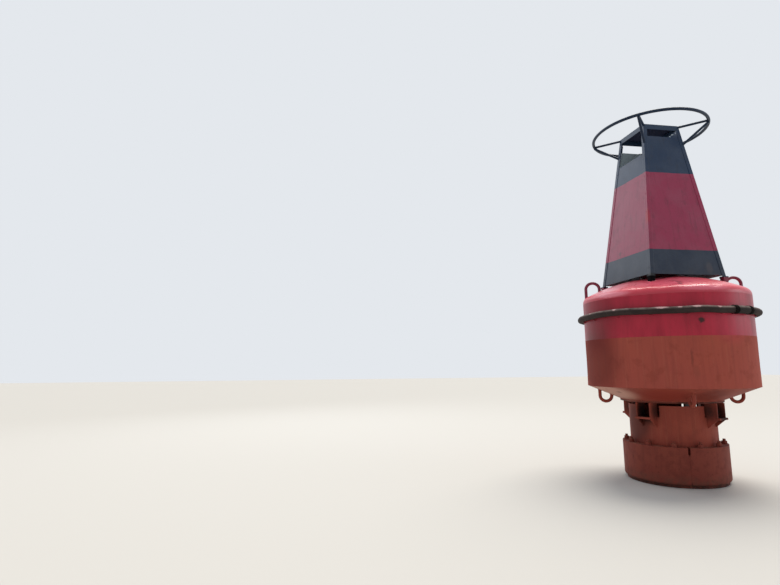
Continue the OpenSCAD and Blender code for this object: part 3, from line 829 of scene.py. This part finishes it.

# A hatch in the middle of the deck, inside the tower, has a coaming of rolled plate and a flat
# cover held down by sixteen bolts. Its red enamel is painted dark, as painted shade inside the tower.
hatch_bolt_count = 16
hatch_bolt_radius = 0.285
coaming_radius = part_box("hatch_coaming")[1].x
cover_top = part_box("hatch_cover")[1].z
hatch_painted_shade_and_specks = [
    (90, 1.0, 0.40, 0.66, "#3A1216", 0.60, 0.70, 0.0, None),
    (14, 1.0, 0.55, 0.68, "#2A1412", 0.60, 0.90, 0.15, None),
]
hatch_enamel_in_painted_shade = painted("red enamel darkened as painted shade", [(0, "#5A1420")], hatch_painted_shade_and_specks, 0.60, 0.2)
for node in ("hatch_coaming", "hatch_cover"):
    piece = eased(node, 0.002, hatch_enamel_in_painted_shade)
    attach(piece, "root")
    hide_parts(node)
hatch_points = points("hatch points", ring(hatch_bolt_radius, cover_top, hatch_bolt_count))
hatch_sizes = {
    "Material": hatch_enamel_in_painted_shade,
    "Across Flats": 0.024,
    "Nut Height": 0.013,
    "Washer Radius": 0.015,
    "Washer Thickness": 0.003,
    "Stud Radius": 0.008,
    "Stud Height": 0.024,
    "Thread Pitch": 0.002,
}
hatch_bolts = grown("hatch_bolts", bolts, hatch_points, hatch_sizes)
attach(hatch_bolts, "root")

# The tower stands on four square posts cut to the slope of the deck and welded to it, in the
# enamel of the lifting eyes. The near one is painted matt black over a dark red base, as painted
# shade under the tower.
foot_middle = 0.614
foot_half = 0.040
foot_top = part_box("foot_1")[1].z
foot_bands = [(2.972, "#5A101C"), (9.0, "#08090B")]
foot_wear = [
    (40, 1.0, 0.48, 0.64, "#0C0E14", 0.50, 0.80, 0.10, None),
    (12, 1.0, 0.62, 0.70, "#4A1A1C", 0.40, 0.80, 0.20, None),
]
near_foot_painted_shade = painted("red enamel, painted black as shade", foot_bands, foot_wear, 0.80, 0.05)
foot_steps = 8
foot_loops = list(lift_loops)
for number in (1, 2, 3, 4):
    piece = eased(f"foot_{number}", 0.002, near_foot_painted_shade if number == 1 else eye_enamel)
    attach(piece, "root")
    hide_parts(f"foot_{number}")
    turn = swung(90 * (number - 1))
    loop = []
    for corner, way in (((-1, -1), (1, 0)), ((1, -1), (0, 1)), ((1, 1), (-1, 0)), ((-1, 1), (0, -1))):
        for step in range(foot_steps):
            x = -foot_middle + foot_half * (corner[0] + way[0] * 2 * step / foot_steps)
            y = -foot_middle + foot_half * (corner[1] + way[1] * 2 * step / foot_steps)
            loop.append(tuple(turn @ Vector((x, y, deck_at(math.hypot(x, y))))))
    foot_loops.append((loop, True))
foot_loops.append((ring(coaming_radius, deck_at(coaming_radius), 120), True))
deck_welds = grown("deck_welds", bar, paths("deck seams", foot_loops), bead(red_enamel, 0.0055))
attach(deck_welds, "root")

# The legs are rolled steel angle, one at each corner, bolted down through their foot plates and
# bolted to the cladding plates behind them. Legs and plates were painted together in bands,
# black, crimson and black, which the weather has dulled.
foot_plate = 0.015
tower_low = foot_top + foot_plate
tower_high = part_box("top_plate")[1].z
half_low, half_high = 0.634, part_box("top_plate")[1].x
leg_width = 0.060
rim_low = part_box("rim")[0].z
lean = math.atan((half_low - half_high) / (tower_high - tower_low))
# The blue in the black bands is a painted reflection of blue sky.
tower_bands = [(3.480, "#082038"), (4.768, "#902549"), (9.0, "#062848")]


def half_width(height):
    """Half the width of the tower at a height."""
    return half_low - (height - tower_low) * math.tan(lean)


def side_normal(side):
    """The direction in which one side of the tower faces."""
    return swung(90 * side) @ Vector((0.0, -math.cos(lean), math.sin(lean)))


def side_place(side, across, height, out=0.0):
    """A place on one side of the tower, across from its middle, up, and out from its face."""
    place = swung(90 * side) @ Vector((across, -half_width(height), height))
    return tuple(place + side_normal(side) * out)


tower_wear = [
    (340, 1.0, 0.42, 0.66, "#9298A0", 0.05, 0.42, 0.0, None),
    (45, 20.0, 0.52, 0.74, "#14161A", 0.30, 0.46, 0.0, None),
    (150, 1.0, 0.54, 0.64, "#1C1E24", 0.16, 0.46, 0.0, None),
    (10, 1.0, 0.40, 0.66, "#7A7478", 0.05, 0.44, 0.12, None),
    (14, 1.0, 0.70, 0.74, "#3A2018", 0.60, 0.90, 0.30, None),
    (70, 2.0, 0.40, 0.70, "#6E6A66", 0.10, 0.60, 0.0, (tower_low + 0.30, tower_low)),
]
# The crimson patch high on the left plate is a painted red reflection, and the near-black patch at the foot
# of the near leg is painted shade; the rest are chips and stains.
tower_stains_and_painted_light = [
    (side_place(3, 0.500, 4.02), 0.050, 0.150, "#A02A38", 0.75),
    (side_place(3, 0.545, 3.93), 0.014, 0.018, "#2A1418", 0.80),
    (side_place(3, -0.170, 3.56), 0.045, 0.040, "#5A2838", 0.60),
    (side_place(3, -0.060, 3.25), 0.012, 0.120, "#30282C", 0.60),
    (side_place(0, -0.570, 3.86), 0.012, 0.016, "#2A1418", 0.75),
    (side_place(0, 0.380, 3.20), 0.060, 0.110, "#4A464A", 0.45),
    (around(-135.0, 0.868, 3.060), 0.110, 0.045, "#04060C", 0.95),
]
torn_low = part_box("panel_front")[1].z
# The pale marks along the front plate's torn upper edge are a painted glint.
for across, up in ((0.125, 0.010), (0.170, 0.040), (0.225, 0.072)):
    tower_stains_and_painted_light.append((side_place(0, across, torn_low + up), 0.022, 0.012, "#B4C2CE", 0.90))
tower_paint = painted("banded alkyd enamel", tower_bands, tower_wear, 0.34, 0.36, tower_stains_and_painted_light)
for number in (1, 2, 3, 4):
    piece = eased(f"leg_{number}", 0.0015, tower_paint)
    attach(piece, "root")
    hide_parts(f"leg_{number}")
bolt_inset = leg_width / 2 + 0.004
bolt_places, bolt_facings = [], []
for side in (0, 1, 2, 3):
    for height in np.linspace(tower_low + 0.12, rim_low - 0.24, 8):
        for end in (-1, 1):
            bolt_places.append(side_place(side, end * (half_width(height) - bolt_inset), height))
            bolt_facings.append(side_normal(side))
leg_bolt_sizes = {
    "Material": tower_paint,
    "Across Flats": 0.014,
    "Nut Height": 0.0025,
    "Washer Radius": 0.009,
    "Washer Thickness": 0.0008,
    "Stud Radius": 0.004,
    "Stud Height": 0.0036,
    "Thread Pitch": 0.002,
}
leg_bolt_points = points("leg bolt points", bolt_places, bolt_facings)
leg_bolts = grown("leg_bolts", bolts, leg_bolt_points, leg_bolt_sizes)
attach(leg_bolts, "root")

# The paint was brushed thickly over legs and plates at once. It bridges the step between each
# leg and the plate behind it with a soft fillet.
flange_step = 0.0062
flange_inset = leg_width + 0.001
flange_edges = []
for side in (0, 1, 2, 3):
    for end in (-1, 1):
        run = []
        for height in np.linspace(tower_low + 0.025, rim_low - 0.025, 41):
            across = end * (half_width(height) - flange_inset)
            run.append(side_place(side, across, height, -flange_step))
        flange_edges.append((run, False))
fillet_sizes = bar_sizes(tower_paint, 0.0055, 8, 0.02, swell=(0.06, 0.09), wrinkle=(0.001, 0.05))
leg_fillets = grown("leg_fillets", bar, paths("flange edges", flange_edges), fillet_sizes)
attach(leg_fillets, "root")


# The cladding is four sheets of thin steel plate behind the legs, with sharp cut edges and only
# a chalky grey primer on the inside. They have drummed in and out between their bolts, and the
# front one's upper edge is torn and bent.
def sheet(node, side, dents, corner_bend, material):
    """A cladding plate as a grid with its true outline, drummed and dented.

    corner_bend is where along the top edge the sheet is bent, how wide and how far down, how
    far out, and between which places its torn edge climbs to the rim.
    """
    columns, rows = 48, 96
    pulled_from = 0.9
    normal = side_normal(side)
    corners = {tuple(round(part, 5) for part in vert.co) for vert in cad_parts[node].data.vertices}
    depths = sorted({round(Vector(corner).dot(normal), 4) for corner in corners})
    outer = [Vector(c) for c in corners if abs(Vector(c).dot(normal) - depths[-1]) < 0.001]
    outer = [swung(-90 * side) @ place for place in outer]
    middle = sum(place.z for place in outer) / len(outer)
    outer.sort(key=lambda place: (place.z > middle, place.x))
    low_left, low_right, high_left, high_right = outer
    forward = swung(90 * side)
    thick = depths[-1] - depths[0]
    places = []
    for inward in (0.0, thick):
        for row in range(rows + 1):
            up = row / rows
            for column in range(columns + 1):
                over = column / columns
                low = low_left.lerp(low_right, over)
                place = low.lerp(high_left.lerp(high_right, over), up)
                held = math.sin(math.pi * over) * math.sin(math.pi * up) ** 0.5
                out = 0.0
                for across, height, half_across, half_up, deep in dents:
                    gap = ((place.x - across) / half_across) ** 2
                    gap += ((place.z - height) / half_up) ** 2
                    out -= deep * math.exp(-gap) * held
                if corner_bend:
                    bend_at, bend_width, bend_height, bend_out, torn_from, torn_to = corner_bend
                    climb = min(1.0, max(0.0, (place.x - torn_from) / (torn_to - torn_from)))
                    climb *= max(0.0, up - pulled_from) / (1 - pulled_from)
                    climb *= rim_low - 0.001 - high_left.z
                    place += Vector((0.0, math.tan(lean), 1.0)) * climb
                    reach = max(0.0, (place.z - (high_left.z - bend_height)) / bend_height)
                    near = math.exp(-(((place.x - bend_at) / bend_width) ** 2))
                    out += bend_out * reach**2 * near
                places.append(forward @ place + normal * (out - inward))
    wide = columns + 1
    layer = wide * (rows + 1)
    faces = []
    for row in range(rows):
        for column in range(columns):
            at = row * wide + column
            faces.append((at, at + 1, at + wide + 1, at + wide))
            faces.append((layer + at, layer + at + wide, layer + at + wide + 1, layer + at + 1))
    border = list(range(wide)) + [row * wide + columns for row in range(1, rows + 1)]
    border += [rows * wide + column for column in range(columns - 1, -1, -1)]
    border += [row * wide for row in range(rows - 1, 0, -1)]
    for one, two in zip(border, border[1:] + border[:1]):
        faces.append((two, one, layer + one, layer + two))
    piece = skin(node + "_drummed", places, faces, material, 40)
    piece.data.materials.append(primer)
    for face in piece.data.polygons:
        face.material_index = int(min(face.vertices) >= layer)
    return piece


primer_wear = [
    (200, 1.0, 0.42, 0.64, "#A2B0B4", 0.50, 0.70, 0.0, None),
    (16, 1.0, 0.62, 0.70, "#6A5046", 0.50, 0.90, 0.15, None),
]
primer = painted("grey zinc primer", [(0, "#B6C6CE")], primer_wear, 0.70, 0.3)
drum_least = (-0.45, tower_low, 0.10, 0.12, -0.004)
drum_most = (0.45, rim_low, 0.34, 0.40, 0.005)
front_bend = (0.19, 0.05, 0.045, 0.006, 0.10, 0.26)
for side, node in enumerate(("panel_front", "panel_right", "panel_back", "panel_left")):
    bend = front_bend if node == "panel_front" else None
    piece = sheet(node, side, thrown(14, drum_least, drum_most), bend, tower_paint)
    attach(piece, "root")
    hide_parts(node)
coated(["rail_low", "rail_high"], tower_paint)

# A rim of flat bar ties the heads of the legs together, and the top plate on it has four bolt
# holes for the lantern. The guard ring is bent from round bar, on struts and braces, and knocks
# have pulled it out of round. All are black gloss enamel whose blue cast is a painted reflection
# of blue sky; the rim and top plate are painted darker where they look down, as painted shade.
black_wear = [
    (260, 1.0, 0.42, 0.66, "#26384C", 0.40, 0.45, 0.0, None),
    (40, 8.0, 0.54, 0.72, "#12161A", 0.40, 0.50, 0.0, None),
    (9, 1.0, 0.40, 0.66, "#22303C", 0.25, 0.48, 0.15, None),
    (18, 1.0, 0.68, 0.73, "#3C2A24", 0.60, 0.90, 0.30, None),
    (80, 1.0, 0.45, 0.75, "#4A5054", 0.20, 0.75, 0.0, "top"),
]
black_enamel = painted("black gloss enamel", [(0, "#12243C")], black_wear, 0.38, 0.2)
painted_underside_shade = [(400, 1.0, 0.00, 0.01, "#182240", 1.00, 0.90, 0.0, "under")]
head_enamel = painted("black enamel, painted shade under", [(0, "#1C3450")], black_wear + painted_underside_shade, 0.38, 0.3)
for node in ("rim", "top_plate"):
    piece = eased(node, 0.0015, head_enamel)
    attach(piece, "root")
    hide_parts(node)
coated(["guard_struts", "guard_braces"], black_enamel)
guard_low, guard_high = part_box("guard_ring")
guard_bar = (guard_high.z - guard_low.z) / 2
guard_level = (guard_high.z + guard_low.z) / 2
guard_radius = guard_high.x - guard_bar
guard_pull = 0.021
guard_path = []
for bearing in range(0, 360, 2):
    reach = guard_radius - guard_pull * math.cos(2 * math.radians(bearing))
    guard_path.append(around(bearing, reach, guard_level))
guard_sizes = bar_sizes(black_enamel, guard_bar, 20, 0.02, swell=(0.004, 0.4), wrinkle=(0.0008, 0.04))
guard_ring = grown("guard_ring_bent", bar, paths("guard path", [(guard_path, True)]), guard_sizes)
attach(guard_ring, "root")
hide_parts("guard_ring")

# The floor is plain and pale, and the light is a studio's: an even pale world, a wide soft lamp
# high behind the buoy that lights its deck, and two large panels off to the sides.
floor_paint = blank("pale floor paint")
floor_tree = floor_paint.node_tree
matt = {"Base Color": tint("#C6C5C1"), "Roughness": 0.9}
add(floor_tree, "ShaderNodeOutputMaterial", {"Surface": add(floor_tree, "ShaderNodeBsdfPrincipled", matt)})
floor_half = 60.0
floor_corners = [(x * floor_half, y * floor_half, 0.0) for x, y in ((-1, -1), (1, -1), (1, 1), (-1, 1))]
floor = skin("floor", floor_corners, [(0, 1, 2, 3)], floor_paint)

world = bpy.data.worlds.new("pale studio")
scene.world = world
world.use_nodes = True
sky = world.node_tree
sky.nodes.clear()
rays = add(sky, "ShaderNodeLightPath").outputs
reflected = {0: rays["Is Glossy Ray"], 1: rays["Is Transmission Ray"]}
mirrored = add(sky, "ShaderNodeMath", reflected, operation="MAXIMUM")
shown = add(sky, "ShaderNodeMath", {0: mirrored, 1: rays["Is Camera Ray"]}, operation="MAXIMUM")
light = add(sky, "ShaderNodeBackground", {"Color": tint("#F2F5FA"), "Strength": 0.52})
backdrop = add(sky, "ShaderNodeBackground", {"Color": tint("#E4E8ED"), "Strength": 1.0})
mixed = add(sky, "ShaderNodeMixShader", {0: shown, 1: light, 2: backdrop})
add(sky, "ShaderNodeOutputWorld", {"Surface": mixed})

sun_bearing, sun_height = 40.0, 65.0
sun = bpy.data.lights.new("high soft lamp", "SUN")
sun.energy = 3.15
sun.angle = math.radians(42)
sun.color = tint("#FFF8EE")[:3]
sun_lamp = brought("high soft lamp", sun)
sun_rise = math.radians(sun_height)
sun_way = Vector(around(sun_bearing, math.cos(sun_rise), math.sin(sun_rise)))
sun_lamp.rotation_euler = sun_way.to_track_quat("Z", "Y").to_euler()

lit_height = 3.5
for name, place, wide, high, watts in (
    ("left panel", (-6.5, 10.0, 11.0), 8.0, 10.0, 400.0),
    ("right panel", (12.0, -5.0, 5.0), 6.0, 4.0, 150.0),
):
    panel = bpy.data.lights.new(name, "AREA")
    panel.shape = "RECTANGLE"
    panel.size, panel.size_y = wide, high
    panel.energy = watts
    panel.color = tint("#F2F6FC")[:3]
    panel_lamp = brought(name, panel)
    panel_lamp.location = place
    panel_way = Vector(place) - Vector((0.0, 0.0, lit_height))
    panel_lamp.rotation_euler = panel_way.to_track_quat("Z", "Y").to_euler()
